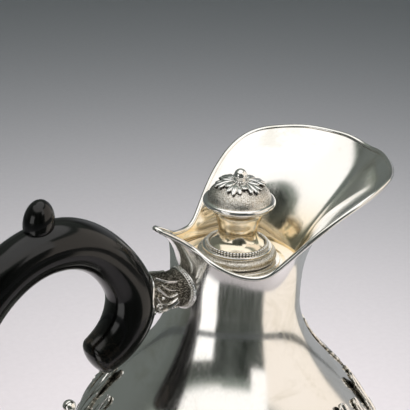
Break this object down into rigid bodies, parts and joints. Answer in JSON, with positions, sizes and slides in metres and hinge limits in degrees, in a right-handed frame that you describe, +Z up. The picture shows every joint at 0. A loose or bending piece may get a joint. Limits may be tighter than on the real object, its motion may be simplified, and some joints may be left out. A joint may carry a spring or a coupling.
{
  "type": "water pitcher",
  "caption": "Pear-shaped silver water pitcher with a helmet mouth, acanthus belly, ebony scroll handle and a drop-in lid with a tall knob.",
  "frame": {"origin": "centre of the foot's base, on the surface the pitcher stands on", "axes": "+Z up along the neck and lid, +X towards the spout with the handle at -X, +Y to the left of the spout"},
  "size_m": [0.2247, 0.1512, 0.2498],
  "materials": {
    "polished_silver": "bright polished silver, faintly warm, with fine wear scratches",
    "chased_silver": "cast and chased silver, darkened in its hollows",
    "matted_silver": "silver matted with fine punch marks",
    "ebony": "polished black ebony"
  },
  "bodies": {
    "vessel": {"belly_shell": "polished_silver", "mouth_shell": "polished_silver", "rim_wire": "polished_silver", "lid_seat": "polished_silver", "belly_leaf_01": "chased_silver", "belly_leaf_02": "chased_silver", "belly_leaf_03": "chased_silver", "belly_leaf_04": "chased_silver", "belly_leaf_05": "chased_silver", "belly_leaf_06": "chased_silver", "belly_leaf_07": "chased_silver", "belly_leaf_08": "chased_silver", "belly_leaf_09": "chased_silver", "belly_leaf_10": "chased_silver", "belly_leaf_11": "chased_silver", "belly_leaf_12": "chased_silver", "foot_collar": "matted_silver", "foot_dome": "polished_silver", "foot_beading": "chased_silver", "foot_rim": "polished_silver", "handle": "ebony", "upper_collar": "polished_silver", "upper_socket": "chased_silver", "upper_stud": "polished_silver", "lower_socket": "chased_silver", "lower_collar": "polished_silver", "lower_rivet": "polished_silver", "lower_scroll": "chased_silver", "lower_ball": "polished_silver"},
    "lid": {"lid_plate": "polished_silver", "lid_bezel": "polished_silver", "lid_base_ring": "polished_silver", "lid_matted_band": "matted_silver", "lid_step": "polished_silver", "lid_beading": "chased_silver", "knob_waist": "polished_silver", "knob_collar": "polished_silver", "knob_dome": "matted_silver", "knob_rosette": "chased_silver", "knob_button": "polished_silver", "knob_rod": "polished_silver", "knob_nut": "polished_silver"}
  },
  "joints": [
    {"name": "lid_lift", "type": "slide", "parent": "vessel", "child": "lid", "axis": [0, 0, 1], "range_m": [0, 0.08]}
  ]
}
